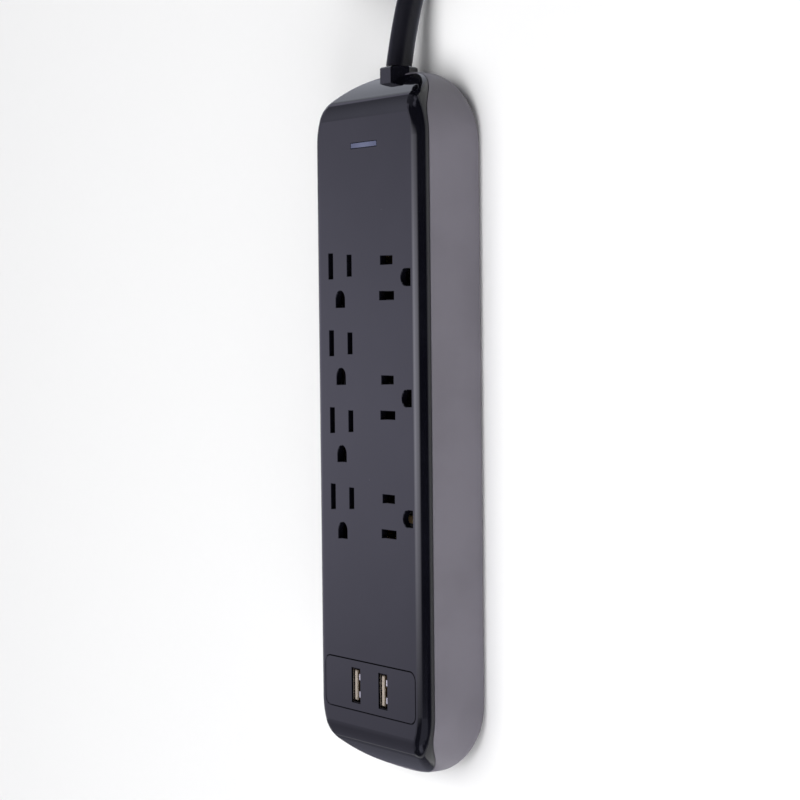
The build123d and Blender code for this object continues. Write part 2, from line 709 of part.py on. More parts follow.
with BuildPart() as cord_tie:
    tie_centre = (COIL_X - COIL_BEND, COIL_MIDDLE_Y - TIE_WIDTH / 2, COIL_FLOOR + COIL_HEIGHT / 2)
    with BuildSketch(Plane(origin=tie_centre, x_dir=(1, 0, 0), z_dir=(0, 1, 0))):
        RectangleRounded(CORD_DIAMETER + 0.2 + 2 * TIE_THICK, COIL_HEIGHT + 0.2 + 2 * TIE_THICK, 1.2)
        Rectangle(CORD_DIAMETER + 0.2, COIL_HEIGHT + 0.2, mode=Mode.SUBTRACT)
    extrude(amount=TIE_WIDTH)
write(cord_tie, "cord_tie")

RELIEF_END = PLUG_START + RELIEF_LENGTH
PLUG_FACE = RELIEF_END + PLUG_LENGTH


def across_plug(y):
    """A plane across the plug at a distance along it, with its own Y pointing down."""
    return Plane(origin=(PLUG_X, y, PLUG_HALF), x_dir=(1, 0, 0), z_dir=(0, 1, 0))


with BuildPart() as plug_relief:
    with BuildSketch(across_plug(PLUG_START)):
        Circle(CORD_RADIUS + 1.0)
    with BuildSketch(across_plug(RELIEF_END)):
        Circle(CORD_RADIUS + 2.6)
    loft()
write(plug_relief, "plug_relief")

with BuildPart() as plug_body:
    with BuildSketch(across_plug(RELIEF_END)):
        RectangleRounded(19, 19, 6)
    with BuildSketch(across_plug(RELIEF_END + 14)):
        RectangleRounded(24, 24, 6)
    loft()
    with BuildSketch(across_plug(RELIEF_END + 14)):
        RectangleRounded(24, 24, 6)
    extrude(amount=PLUG_LENGTH - 14)
write(plug_body, "plug_body")

BLADE_RISE = 3.5
for name, blade_x in {"hot_blade": -BLADE_OFFSET, "neutral_blade": BLADE_OFFSET}.items():
    with BuildPart() as blade:
        with BuildSketch(across_plug(PLUG_FACE)):
            with Locations((blade_x, -BLADE_RISE)):
                Rectangle(1.5, 6.35 if name == "hot_blade" else 7.9)
        extrude(amount=BLADE_LENGTH)
        chamfer(faces().sort_by(Axis.Y)[-1].edges(), 0.5)
    write(blade, name)

with BuildPart() as ground_pin:
    with BuildSketch(across_plug(PLUG_FACE)):
        with Locations((0, 11.9 - BLADE_RISE)):
            Circle(2.38)
    extrude(amount=GROUND_PIN_LENGTH)
    fillet(faces().sort_by(Axis.Y)[-1].edges(), 1.8)
write(ground_pin, "ground_pin")
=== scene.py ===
"""A slim power strip: gloss face, satin back, seven outlets, two charging ports, a coiled mains lead.

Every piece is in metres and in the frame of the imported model: +Z out of the face, +Y towards the lead, and
the back of the strip on the floor at Z = 0.
"""

import logging
import math
from collections.abc import Callable, Sequence
from dataclasses import dataclass
from enum import Enum

import bmesh
import bpy
from mathutils import Matrix, Vector


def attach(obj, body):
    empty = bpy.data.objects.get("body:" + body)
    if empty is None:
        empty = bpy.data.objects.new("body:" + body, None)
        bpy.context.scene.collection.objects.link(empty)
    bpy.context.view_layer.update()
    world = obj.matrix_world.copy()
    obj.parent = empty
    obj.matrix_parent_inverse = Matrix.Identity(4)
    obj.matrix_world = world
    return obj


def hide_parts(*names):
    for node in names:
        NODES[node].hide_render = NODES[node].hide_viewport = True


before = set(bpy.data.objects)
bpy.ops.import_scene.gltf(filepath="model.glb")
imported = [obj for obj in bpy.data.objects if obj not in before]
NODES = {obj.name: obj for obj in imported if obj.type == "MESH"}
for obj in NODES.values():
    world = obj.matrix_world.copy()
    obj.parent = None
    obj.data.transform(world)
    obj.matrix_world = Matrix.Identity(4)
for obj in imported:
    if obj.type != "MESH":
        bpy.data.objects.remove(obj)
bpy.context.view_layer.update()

STRIP = "strip"
LOG = logging.getLogger("power_strip")
MM = 0.001
SHARP_ANGLE = math.radians(40)

Point = tuple[float, float, float]
Colour = tuple[float, float, float]


# ---------------------------------------------------------------- node graphs


class Value:
    """A node's output socket that takes part in Python arithmetic by adding Math nodes."""

    def __init__(self, graph: "Graph", socket: bpy.types.NodeSocket) -> None:
        """Wraps one output socket of a graph."""
        self.graph = graph
        self.socket = socket

    def maths(self, operation: str, *others: "Value | float") -> "Value":
        """Adds a Math node with this value first.

        Args:
            operation: The Math node's operation.
            others: The node's further values.

        Returns:
            The node's result.
        """
        kind = "ShaderNodeMath"
        links = {place: item for place, item in enumerate((self, *others))}
        return self.graph.node(kind, {"operation": operation}, links)

    def __add__(self, other: "Value | float") -> "Value":
        """The sum."""
        return self.maths("ADD", other)

    __radd__ = __add__

    def __mul__(self, other: "Value | float") -> "Value":
        """The product."""
        return self.maths("MULTIPLY", other)

    __rmul__ = __mul__

    def __sub__(self, other: "Value | float") -> "Value":
        """The difference."""
        return self.maths("SUBTRACT", other)

    def __rsub__(self, other: float) -> "Value":
        """A number less this value."""
        return self.maths("MULTIPLY", -1.0) + other

    def __truediv__(self, other: "Value | float") -> "Value":
        """The quotient."""
        return self.maths("DIVIDE", other)

    def smooth(self, low: float, high: float, start: float = 0.0, end: float = 1.0) -> "Value":
        """Maps low..high to start..end with an eased, clamped ramp.

        Args:
            low: The value that gives start.
            high: The value that gives end.
            start: The result at or before low.
            end: The result at or past high.

        Returns:
            The mapped value.
        """
        settings = {"interpolation_type": "SMOOTHSTEP"}
        links = {"Value": self, "From Min": low, "From Max": high, "To Min": start, "To Max": end}
        return self.graph.node("ShaderNodeMapRange", settings, links)


class Graph:
    """A node tree under construction."""

    def __init__(self, tree: bpy.types.NodeTree) -> None:
        """Starts with an empty tree."""
        self.tree = tree
        tree.nodes.clear()

    def node(
        self,
        kind: str,
        settings: dict[str, object] | None = None,
        links: dict[int | str, object] | None = None,
        output: int | str = 0,
    ) -> Value:
        """Adds a node.

        Args:
            kind: The node's type name.
            settings: Properties of the node, set before its sockets.
            links: What each input takes, by place or name: a Value, a number, or several numbers.
            output: Which output to return, by place or name.

        Returns:
            The chosen output.
        """
        made = self.tree.nodes.new(kind)
        for name, setting in (settings or {}).items():
            setattr(made, name, setting)
        for key, item in (links or {}).items():
            if isinstance(item, Value):
                self.tree.links.new(item.socket, made.inputs[key])
            else:
                made.inputs[key].default_value = item
        if not made.outputs:
            return Value(self, None)
        return Value(self, made.outputs[output])

    def place(self) -> Value:
        """Object coordinates, in metres."""
        return self.node("ShaderNodeTexCoord", output="Object")

    def normal(self) -> Value:
        """The surface's own normal."""
        return self.node("ShaderNodeNewGeometry", output="Normal")

    def noise(self, size: float, detail: float = 3.0, stretch: Point = (1, 1, 1), seed: float = 0.0) -> Value:
        """A noise pattern on object coordinates.

        Args:
            size: The pattern's grain in metres.
            detail: How many finer layers it has.
            stretch: How much longer the grain is along each axis.
            seed: A shift that tells two patterns apart.

        Returns:
            A value from 0 to 1.
        """
        scale = tuple(1.0 / amount for amount in stretch)
        shifted = {"Vector": self.place(), "Location": (seed, seed * 0.7, seed * 1.3), "Scale": scale}
        where = self.node("ShaderNodeMapping", links=shifted)
        return self.node("ShaderNodeTexNoise", links={"Vector": where, "Scale": 1.0 / size, "Detail": detail})

    def specks(self, spacing: float, radius: float) -> Value:
        """Small separate specks.

        Args:
            spacing: The distance between speck places in metres.
            radius: The speck's radius as a share of the spacing.

        Returns:
            1 on a speck and 0 elsewhere.
        """
        links = {"Vector": self.place(), "Scale": 1.0 / spacing, "Randomness": 1.0}
        near = self.node("ShaderNodeTexVoronoi", links=links, output="Distance")
        return near.smooth(radius, radius * 0.4)

    def mix(self, factor: Value | float, first: Colour | Value, second: Colour | Value) -> Value:
        """Mixes two colours.

        Args:
            factor: The share of the second colour.
            first: A colour or a colour socket.
            second: A colour or a colour socket.

        Returns:
            The mixed colour.
        """
        ends = [end if isinstance(end, Value) else (*end, 1.0) for end in (first, second)]
        links = {0: factor, 6: ends[0], 7: ends[1]}
        return self.node("ShaderNodeMix", {"data_type": "RGBA", "clamp_factor": True}, links, output=2)

    def bump(self, height: Value, depth: float, strength: float = 1.0) -> Value:
        """Turns a height into a normal.

        Args:
            height: The height, from 0 to 1.
            depth: How many metres a height of 1 stands up.
            strength: The share of the bump that shows.

        Returns:
            The bent normal.
        """
        links = {"Height": height, "Distance": depth, "Strength": strength}
        return self.node("ShaderNodeBump", links=links, output="Normal")


def blank_material(name: str) -> tuple[bpy.types.Material, Graph]:
    """Makes a material with an empty tree.

    Args:
        name: The material's name.

    Returns:
        The material and its graph.
    """
    made = bpy.data.materials.new(name)
    made.use_nodes = True
    return made, Graph(made.node_tree)


@dataclass(frozen=True)
class Finish:
    """A surface with one shader; each kind of finish says what varies over it."""

    name: str
    colour: Colour
    roughness: float

    def shade(self, graph: Graph) -> dict[str, object]:
        """What the shader's sockets take, by socket name.

        Args:
            graph: The material's graph.

        Returns:
            The shader's inputs.
        """
        raise NotImplementedError

    def material(self) -> bpy.types.Material:
        """The finish's material, made once.

        Returns:
            The material.
        """
        title = f"{self.name}_finish"
        made = bpy.data.materials.get(title)
        if made:
            return made
        made, graph = blank_material(title)
        surface = graph.node("ShaderNodeBsdfPrincipled", links=self.shade(graph))
        graph.node("ShaderNodeOutputMaterial", links={"Surface": surface})
        made.diffuse_color = (*self.colour, 1.0)
        return made


@dataclass(frozen=True)
class Moulded(Finish):
    """Moulded plastic or vinyl: mottled colour, a fine grain and a few smudges."""

    grain: float = 0.0006
    depth: float = 0.00002
    mottle: float = 0.25
    smudge: float = 0.15
    flecks: float = 0.0
    gloss: float = 0.5
    cloud_size: float = 0.03
    smudge_size: float = 0.012
    smudge_stretch: Point = (1.0, 2.5, 1.0)
    fleck_spacing: float = 0.011
    # a fleck's radius as a share of the spacing, its colour and what it adds to the roughness
    fleck_radius: float = 0.016
    fleck_colour: Colour = (0.3, 0.3, 0.33)
    fleck_roughness: float = 0.3

    def shade(self, graph: Graph) -> dict[str, object]:
        """Grain in the normal, clouds in the colour and smudges in the roughness.

        Args:
            graph: The material's graph.

        Returns:
            The shader's inputs.
        """
        clouds = graph.noise(self.cloud_size, 4.0)
        grain = graph.noise(self.grain, 2.0, seed=1.7)
        paler = tuple(min(1.0, part * (1 + self.mottle) + 0.004 * self.mottle) for part in self.colour)
        colour = graph.mix(clouds.smooth(0.35, 0.7), self.colour, paler)
        smudges = graph.noise(self.smudge_size, 5.0, self.smudge_stretch, seed=4.1).smooth(0.45, 0.75)
        roughness = smudges * (self.roughness * self.smudge) + self.roughness
        if self.flecks:
            dust = graph.specks(self.fleck_spacing, self.fleck_radius)
            colour = graph.mix(dust * self.flecks, colour, self.fleck_colour)
            roughness = roughness + dust * self.fleck_roughness
        return {
            "Base Color": colour,
            "Roughness": roughness,
            "Specular IOR Level": self.gloss,
            "Normal": graph.bump(grain, self.depth),
        }


@dataclass(frozen=True)
class Metal(Finish):
    """Rolled sheet metal with fine streaks and a little tarnish."""

    streaks: Point = (1.0, 1.0, 12.0)
    tarnish: Colour = (0.2, 0.14, 0.08)
    stain: float = 0.35
    streak_size: float = 0.0004
    streak_depth: float = 0.00001
    patch_size: float = 0.004

    def shade(self, graph: Graph) -> dict[str, object]:
        """Streaks in the roughness and the normal, tarnish in the colour.

        Args:
            graph: The material's graph.

        Returns:
            The shader's inputs.
        """
        streak = graph.noise(self.streak_size, 3.0, self.streaks)
        patches = graph.noise(self.patch_size, 4.0, seed=2.3).smooth(0.5, 0.8)
        return {
            "Base Color": graph.mix(patches * self.stain, self.colour, self.tarnish),
            "Metallic": 1.0,
            "Roughness": streak * 0.2 + patches * 0.15 + self.roughness,
            "Normal": graph.bump(streak, self.streak_depth),
        }


@dataclass(frozen=True)
class PortShell(Metal):
    """A port's steel shell: its spring tips keep the steel colour, and its cut rim and deep walls are painted
    near black as shade.
    """

    # the heights between which the spring tips lie, and how softly the bright band starts and ends
    tips: tuple[float, float] = (0.0264, 0.02695)
    fade: tuple[float, float] = (0.0003, 0.0001)
    # the near black painted on the cut rim and the deep walls as shade
    painted_shade: Colour = (0.006, 0.005, 0.006)

    def shade(self, graph: Graph) -> dict[str, object]:
        """Steel colour at the height of the spring tips, painted shade above and below.

        Args:
            graph: The material's graph.

        Returns:
            The shader's inputs.
        """
        inputs = super().shade(graph)
        height = graph.node("ShaderNodeSeparateXYZ", links={0: graph.place()}, output=2)
        low, high = self.tips
        lit = height.smooth(low - self.fade[0], low) * height.smooth(high + self.fade[1], high)
        # painted shade everywhere outside the spring tips' band
        inputs["Base Color"] = graph.mix(lit, self.painted_shade, inputs["Base Color"])
        return inputs


@dataclass(frozen=True)
class Tongue(Moulded):
    """A port's tongue: a pale end, and dark brown flanks, partly the brass tone of the contacts and partly
    painted shade inside the port.
    """

    # the flanks' dark brown: partly the contacts' brass, partly painted shade inside the port
    flank_brass_and_shade: Colour = (0.05, 0.032, 0.018)

    def shade(self, graph: Graph) -> dict[str, object]:
        """The flanks' dark brown where the surface faces sideways: partly contact brass, partly painted
        shade.

        Args:
            graph: The material's graph.

        Returns:
            The shader's inputs.
        """
        inputs = super().shade(graph)
        facing_up = graph.node("ShaderNodeSeparateXYZ", links={0: graph.normal()}, output=2)
        # flanks painted dark brown, partly as shade inside the port
        inputs["Base Color"] = graph.mix(facing_up.smooth(0.5, 0.9), self.flank_brass_and_shade, inputs["Base Color"])
        return inputs


@dataclass(frozen=True)
class Lens(Finish):
    """A frosted translucent light bar with a painted glow, a paler colour, towards its middle."""

    # the paler colour painted in the middle as the bar's glow
    middle: Colour = (0.3, 0.33, 0.56)
    half_length: float = 0.009
    frost_size: float = 0.0009
    frost_depth: float = 0.00002

    def shade(self, graph: Graph) -> dict[str, object]:
        """A painted glow as a paler middle, cloudy frosting and a fine diffusing texture.

        Args:
            graph: The material's graph.

        Returns:
            The shader's inputs.
        """
        across = graph.node("ShaderNodeSeparateXYZ", links={0: graph.place()}, output=0)
        painted_glow_mask = across.maths("ABSOLUTE").smooth(self.half_length, 0.0)
        frost = graph.noise(self.frost_size, 3.0)
        # painted glow: paler towards the middle
        colour = graph.mix(painted_glow_mask * 0.7 + frost * 0.2, self.colour, self.middle)
        return {
            "Base Color": colour,
            "Roughness": frost * 0.15 + self.roughness,
            "Normal": graph.bump(frost, self.frost_depth),
        }


@dataclass(frozen=True)
class Board(Finish):
    """A circuit board's solder mask with paler tracks under it."""

    track_scale: float = 90.0
    track_depth: float = 0.00003
    cloud_size: float = 0.01

    def shade(self, graph: Graph) -> dict[str, object]:
        """Tracks as a brick pattern that shows in the colour and the normal.

        Args:
            graph: The material's graph.

        Returns:
            The shader's inputs.
        """
        links = {"Vector": graph.place(), "Scale": self.track_scale, "Mortar Size": 0.05}
        tracks = graph.node("ShaderNodeTexBrick", links=links, output="Fac")
        clouds = graph.noise(self.cloud_size, 3.0)
        paler = tuple(part * 1.8 for part in self.colour)
        return {
            "Base Color": graph.mix(tracks * 0.7 + clouds * 0.3, self.colour, paler),
            "Roughness": clouds * 0.2 + self.roughness,
            "Normal": graph.bump(tracks, self.track_depth),
        }


@dataclass(frozen=True)
class LoopTape(Finish):
    """Hook and loop tape: a dense nap of tiny loops on a woven ground."""

    loop_size: float = 0.0005
    row_scale: float = 900.0
    nap_depth: float = 0.00025
    sheen: float = 0.3

    def shade(self, graph: Graph) -> dict[str, object]:
        """Loops in the colour and the normal, with a soft sheen.

        Args:
            graph: The material's graph.

        Returns:
            The shader's inputs.
        """
        loops = graph.noise(self.loop_size, 4.0)
        links = {"Vector": graph.place(), "Scale": self.row_scale, "Distortion": 1.5}
        rows = graph.node("ShaderNodeTexWave", {"bands_direction": "Y"}, links, output="Fac")
        paler = tuple(part * 2.4 + 0.01 for part in self.colour)
        return {
            "Base Color": graph.mix(loops.smooth(0.35, 0.75), self.colour, paler),
            "Roughness": loops * 0.1 + self.roughness,
            "Sheen Weight": self.sheen,
            "Normal": graph.bump(loops * 0.8 + rows * 0.2, self.nap_depth),
        }


@dataclass(frozen=True)
class Paper(Finish):
    """A plain pale floor with the faintest tooth."""

    tooth_size: float = 0.004

    def shade(self, graph: Graph) -> dict[str, object]:
        """A barely mottled colour and no gloss.

        Args:
            graph: The material's graph.

        Returns:
            The shader's inputs.
        """
        tooth = graph.noise(self.tooth_size, 3.0)
        paler = tuple(min(1.0, part * 1.01) for part in self.colour)
        return {
            "Base Color": graph.mix(tooth, self.colour, paler),
            "Roughness": self.roughness,
            "Specular IOR Level": 0.0,
        }


class Surface(Enum):
    """The object's finishes, one for each material slot of the record."""

    GLOSS_BLACK = Moulded("gloss_black", (0.0022, 0.0022, 0.0042), 0.05, 0.004, 0.000004, 0.3, 0.5, 0.25, 0.5)
    MATTE_BLACK = Moulded("matte_black", (0.11, 0.102, 0.123), 0.45, 0.00045, 0.00002, 0.15, 0.12)
    COLLAR_BLACK = Moulded("collar_black", (0.004, 0.004, 0.007), 0.18, 0.0006, 0.00001, 0.3, 0.3)
    # the lens and the LED carry a painted glow in their paler middles
    LENS = Lens("lens", (0.06, 0.07, 0.13), 0.25, (0.11, 0.125, 0.2))
    LED = Lens("led", (0.4, 0.42, 0.6), 0.15, (0.6, 0.62, 0.8))
    STEEL = PortShell("steel", (0.74, 0.72, 0.7), 0.16)
    PORT_PLASTIC = Tongue("port_plastic", (0.34, 0.29, 0.24), 0.4, 0.0005, 0.00001, 0.15)
    BRASS = Metal("brass", (0.76, 0.55, 0.26), 0.2)
    BOARD = Board("board", (0.02, 0.12, 0.05), 0.35)
    COMPONENT_YELLOW = Moulded("component_yellow", (0.6, 0.45, 0.08), 0.45, 0.0008)
    CAN = Metal("can", (0.5, 0.52, 0.6), 0.25, (1.0, 1.0, 20.0), (0.2, 0.2, 0.25), 0.1)
    TRAY_PLASTIC = Moulded("tray_plastic", (0.06, 0.058, 0.055), 0.5, 0.0008)
    VARISTOR_BLUE = Moulded("varistor_blue", (0.02, 0.07, 0.3), 0.25, 0.002)
    FUSE_WHITE = Moulded("fuse_white", (0.75, 0.73, 0.66), 0.5, 0.0004)
    BREAKER_PLASTIC = Moulded("breaker_plastic", (0.03, 0.03, 0.033), 0.5, 0.0008)
    WIRE_BLACK = Moulded("wire_black", (0.02, 0.02, 0.02), 0.4, 0.001)
    WIRE_WHITE = Moulded("wire_white", (0.7, 0.7, 0.66), 0.4, 0.001)
    WIRE_GREEN = Moulded("wire_green", (0.02, 0.25, 0.06), 0.4, 0.001)
    CORD_BLACK = Moulded("cord_black", (0.0035, 0.0035, 0.006), 0.32, 0.0011, 0.00003, 0.5, 0.3, 0.0, 0.22)
    TIE_BLACK = LoopTape("tie_black", (0.015, 0.015, 0.018), 0.85)


def dress(surface: Surface, *names: str) -> None:
    """Gives CAD nodes a finish.

    Args:
        surface: The finish.
        names: The nodes.
    """
    for name in names:
        mesh = NODES[name].data
        mesh.materials.clear()
        mesh.materials.append(surface.value.material())
        LOG.info("dressed %s in %s", name, surface.value.name)


def add_piece(
    name: str, data: bpy.types.ID, surface: Surface, stands_for: Sequence[str] = ()
) -> bpy.types.Object:
    """Links a new piece at the origin, finishes it and lets it ride on the strip.

    Args:
        name: The piece's name.
        data: Its mesh or curve.
        surface: Its finish.
        stands_for: The CAD nodes that it replaces.

    Returns:
        The new object.
    """
    piece = bpy.data.objects.new(name, data)
    bpy.context.scene.collection.objects.link(piece)
    data.materials.clear()
    data.materials.append(surface.value.material())
    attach(piece, STRIP)
    if stands_for:
        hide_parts(*stands_for)
    LOG.info("made %s", name)
    return piece


def skin_rings(name: str, rings: Sequence[Sequence[Vector]]) -> bpy.types.Mesh:
    """Joins equal rings of points into a smooth mesh with two end caps.

    Args:
        name: The mesh's name.
        rings: The rings, in order along the piece.

    Returns:
        The mesh, with its faces pointing outwards.
    """
    build = bmesh.new()
    rows = [[build.verts.new(point) for point in ring] for ring in rings]
    for row, following in zip(rows, rows[1:]):
        for place in range(len(row)):
            after = (place + 1) % len(row)
            build.faces.new((row[place], row[after], following[after], following[place]))
    build.faces.new(rows[0])
    build.faces.new(rows[-1][::-1])
    bmesh.ops.recalc_face_normals(build, faces=build.faces)
    mesh = bpy.data.meshes.new(name)
    build.to_mesh(mesh)
    build.free()
    mesh.shade_smooth()
    mesh.set_sharp_from_angle(angle=SHARP_ANGLE)
    return mesh


class NodeShape:
    """A mesh that a Geometry Nodes tree makes from named sizes."""

    def __init__(self, name: str, surface: Surface) -> None:
        """Starts a tree with one geometry output.

        Args:
            name: The shape's name.
            surface: Its finish.
        """
        self.name = name
        self.surface = surface
        self.sizes: dict[str, float | int] = {}
        self.tree = bpy.data.node_groups.new(name, "GeometryNodeTree")
        self.graph = Graph(self.tree)
        self.tree.interface.new_socket(name="Geometry", in_out="OUTPUT", socket_type="NodeSocketGeometry")
        self.entry = self.tree.nodes.new("NodeGroupInput")

    def size(self, name: str, amount: float | int) -> Value:
        """Adds a named input.

        Args:
            name: The input's name.
            amount: Its value on this piece.

        Returns:
            The input inside the tree.
        """
        kind = "NodeSocketInt" if isinstance(amount, int) else "NodeSocketFloat"
        socket = self.tree.interface.new_socket(name=name, in_out="INPUT", socket_type=kind)
        self.sizes[socket.identifier] = amount
        return Value(self.graph, self.entry.outputs[name])

    def mesh(self, geometry: Value) -> bpy.types.Mesh:
        """Closes the tree and turns its result into a plain mesh.

        Args:
            geometry: The finished geometry.

        Returns:
            The mesh, with no modifier left behind.
        """
        whole = self.graph.node("GeometryNodeRealizeInstances", links={0: geometry})
        smooth = self.graph.node("GeometryNodeSetShadeSmooth", links={0: whole})
        coloured = self.graph.node("GeometryNodeSetMaterial", links={0: smooth})
        coloured.socket.node.inputs["Material"].default_value = self.surface.value.material()
        self.graph.node("NodeGroupOutput", links={0: coloured})
        holder = bpy.data.objects.new(self.name, bpy.data.meshes.new(self.name))
        bpy.context.scene.collection.objects.link(holder)
        modifier = holder.modifiers.new("shape", "NODES")
        modifier.node_group = self.tree
        for identifier, amount in self.sizes.items():
            modifier[identifier] = amount
        shown = holder.evaluated_get(bpy.context.evaluated_depsgraph_get())
        made = bpy.data.meshes.new_from_object(shown)
        bpy.data.objects.remove(holder)
        made.set_sharp_from_angle(angle=SHARP_ANGLE)
        return made


# ---------------------------------------------------------------- sub-assemblies


@dataclass
class Casing:
    """The two halves, their screws, the light bar and the reset button."""

    def make(self) -> None:
        """Dresses the casing's nodes."""
        dress(Surface.GLOSS_BLACK, "front_cover")
        dress(Surface.MATTE_BLACK, "base_shell", "reset_button")
        # the screws share the port shells' steel, whose painted shade leaves them nearly black away from the
        # spring tips' heights
        dress(Surface.STEEL, "cover_screws")
        dress(Surface.LENS, "indicator_lens")
        dress(Surface.LED, "indicator_led")


@dataclass
class Charger:
    """The charging panel, its two ports and the board behind them."""

    sides: tuple[str, ...] = ("left", "right")

    def make(self) -> None:
        """Dresses the charger's nodes."""
        dress(Surface.GLOSS_BLACK, "usb_panel")
        for side in self.sides:
            dress(Surface.STEEL, f"usb_shell_{side}")
            dress(Surface.PORT_PLASTIC, f"usb_tongue_{side}")
            dress(Surface.BRASS, f"usb_contacts_{side}")
        dress(Surface.BOARD, "usb_board")
        dress(Surface.COMPONENT_YELLOW, "usb_transformer")
        dress(Surface.CAN, "usb_capacitor")


@dataclass
class Wiring:
    """The contacts, the surge board, the breaker and the wires between them."""

    def make(self) -> None:
        """Dresses the wiring's nodes."""
        dress(Surface.TRAY_PLASTIC, "contact_tray")
        dress(Surface.BRASS, "hot_bus", "neutral_bus", "ground_bus")
        dress(Surface.BOARD, "surge_board")
        blocks = ("hot_to_neutral", "hot_to_ground", "neutral_to_ground")
        dress(Surface.VARISTOR_BLUE, *(f"varistor_{block}" for block in blocks))
        dress(Surface.FUSE_WHITE, "thermal_fuse")
        dress(Surface.BREAKER_PLASTIC, "circuit_breaker")
        dress(Surface.WIRE_BLACK, "hot_wire")
        dress(Surface.WIRE_WHITE, "neutral_wire")
        dress(Surface.WIRE_GREEN, "ground_wire")


@dataclass
class Plug:
    """The grounded plug at the lead's far end, with its ribbed strain relief."""

    axis_x: float = 21.2 * MM
    axis_z: float = 12.0 * MM
    relief_start: float = 335.0 * MM
    relief_length: float = 24.0 * MM
    relief_radii: tuple[float, float] = (5.4 * MM, 6.6 * MM)
    relief_around: int = 48
    relief_sections: int = 12
    ribs: int = 7
    rib_radius: float = 0.9 * MM
    rib_around: int = 10
    # how much of a rib's radius the core leaves out at its thin end
    rib_share: float = 0.4
    corner_power: float = 3.4
    around: int = 64
    grip_ribs: int = 5
    grip_start: float = 361.6 * MM
    grip_step: float = 1.9 * MM
    grip_reach: float = 9.4 * MM
    # how much further out each next finger rib lies
    grip_spread: float = 0.17 * MM
    grip_size: Point = (0.75 * MM, 0.6 * MM, 4.6 * MM)
    grip_around: int = 20
    grip_rings: int = 12
    # distance from the relief's end, and half the width there
    profile: tuple[tuple[float, float], ...] = (
        (0.0, 7.6),
        (0.8, 8.7),
        (3.0, 9.3),
        (7.0, 9.7),
        (10.5, 10.4),
        (13.0, 11.4),
        (14.6, 11.9),
        (16.0, 12.0),
        (28.6, 12.0),
        (29.6, 11.7),
        (30.0, 11.0),
    )

    def relief(self) -> bpy.types.Object:
        """The tapered strain relief: a core with evenly spaced ribs round it.

        Returns:
            The relief.
        """
        shape = NodeShape("ribbed_relief", Surface.CORD_BLACK)
        graph = shape.graph
        length = shape.size("Length", self.relief_length)
        thin = shape.size("Thin end", self.relief_radii[0])
        thick = shape.size("Thick end", self.relief_radii[1])
        count = shape.size("Ribs", self.ribs)
        rib = shape.size("Rib radius", self.rib_radius)
        cone = {
            "Vertices": self.relief_around,
            "Side Segments": self.relief_sections,
            "Radius Top": thick - rib,
            "Radius Bottom": thin - rib * self.rib_share,
            "Depth": length,
        }
        core = graph.node("GeometryNodeMeshCone", links=cone)
        circle = "GeometryNodeCurvePrimitiveCircle"
        ring = graph.node(circle, links={"Resolution": self.relief_around, "Radius": 1.0})
        wire = graph.node(circle, links={"Resolution": self.rib_around, "Radius": rib})
        step = length / count
        index = graph.node("GeometryNodeInputIndex")
        along = (index + 0.5) / count
        spot = graph.node("ShaderNodeCombineXYZ", links={2: (index + 0.5) * step})
        points = graph.node("GeometryNodePoints", links={"Count": count, "Position": spot})
        wide = thin + along * (thick - thin) - rib
        scale = graph.node("ShaderNodeCombineXYZ", links={0: wide, 1: wide, 2: 1.0})
        rings = {"Points": points, "Instance": ring, "Scale": scale}
        placed = graph.node("GeometryNodeInstanceOnPoints", links=rings)
        real = graph.node("GeometryNodeRealizeInstances", links={0: placed})
        torus = graph.node("GeometryNodeCurveToMesh", links={"Curve": real, "Profile Curve": wire})
        both = graph.node("GeometryNodeJoinGeometry", links={0: core})
        graph.tree.links.new(torus.socket, both.socket.node.inputs[0])
        where = (self.axis_x, self.relief_start, self.axis_z)
        turn = {"Geometry": both, "Translation": where, "Rotation": (-math.pi / 2, 0, 0)}
        mesh = shape.mesh(graph.node("GeometryNodeTransform", links=turn))
        return add_piece("plug_relief_ribbed", mesh, Surface.CORD_BLACK, ["plug_relief"])

    def outline(self, y: float, half: float) -> list[Vector]:
        """One rounded-square ring across the plug.

        Args:
            y: Where the ring lies.
            half: Half its width.

        Returns:
            The ring's points.
        """
        ring = []
        power = self.corner_power
        for place in range(self.around):
            turn = 2 * math.pi * place / self.around
            across, rise = math.cos(turn), math.sin(turn)
            reach = (abs(across) ** power + abs(rise) ** power) ** (-1 / power)
            ring.append(Vector((self.axis_x + half * reach * across, y, self.axis_z + half * reach * rise)))
        return ring

    def shell(self) -> bpy.types.Object:
        """The moulded body, waisted towards the relief.

        Returns:
            The body.
        """
        start = self.relief_start + self.relief_length
        rings = [self.outline(start + run * MM, half * MM) for run, half in self.profile]
        return add_piece("plug_shell", skin_rings("plug_shell", rings), Surface.CORD_BLACK, ["plug_body"])

    def grips(self) -> bpy.types.Object:
        """Short finger ribs on the waist's two sides.

        Returns:
            The ribs as one piece.
        """
        shape = NodeShape("finger_ribs", Surface.CORD_BLACK)
        graph = shape.graph
        count = shape.size("Ribs", self.grip_ribs)
        step = shape.size("Step", self.grip_step)
        reach = shape.size("Reach", self.grip_reach)
        index = graph.node("GeometryNodeInputIndex")
        side = (index / 2.0).maths("FRACT").smooth(0.2, 0.3) * 2.0 - 1.0
        rank = (index / 2.0).maths("FLOOR")
        out = reach + rank * self.grip_spread
        spot = {0: side * out + self.axis_x, 1: rank * step + self.grip_start, 2: self.axis_z}
        points = {"Count": count * 2.0, "Position": graph.node("ShaderNodeCombineXYZ", links=spot)}
        cloud = graph.node("GeometryNodePoints", links=points)
        sizes = {"Segments": self.grip_around, "Rings": self.grip_rings, "Radius": 1.0}
        ball = graph.node("GeometryNodeMeshUVSphere", links=sizes)
        rib = graph.node("GeometryNodeTransform", links={"Geometry": ball, "Scale": self.grip_size})
        placed = graph.node("GeometryNodeInstanceOnPoints", links={"Points": cloud, "Instance": rib})
        return add_piece("plug_finger_ribs", shape.mesh(placed), Surface.CORD_BLACK)

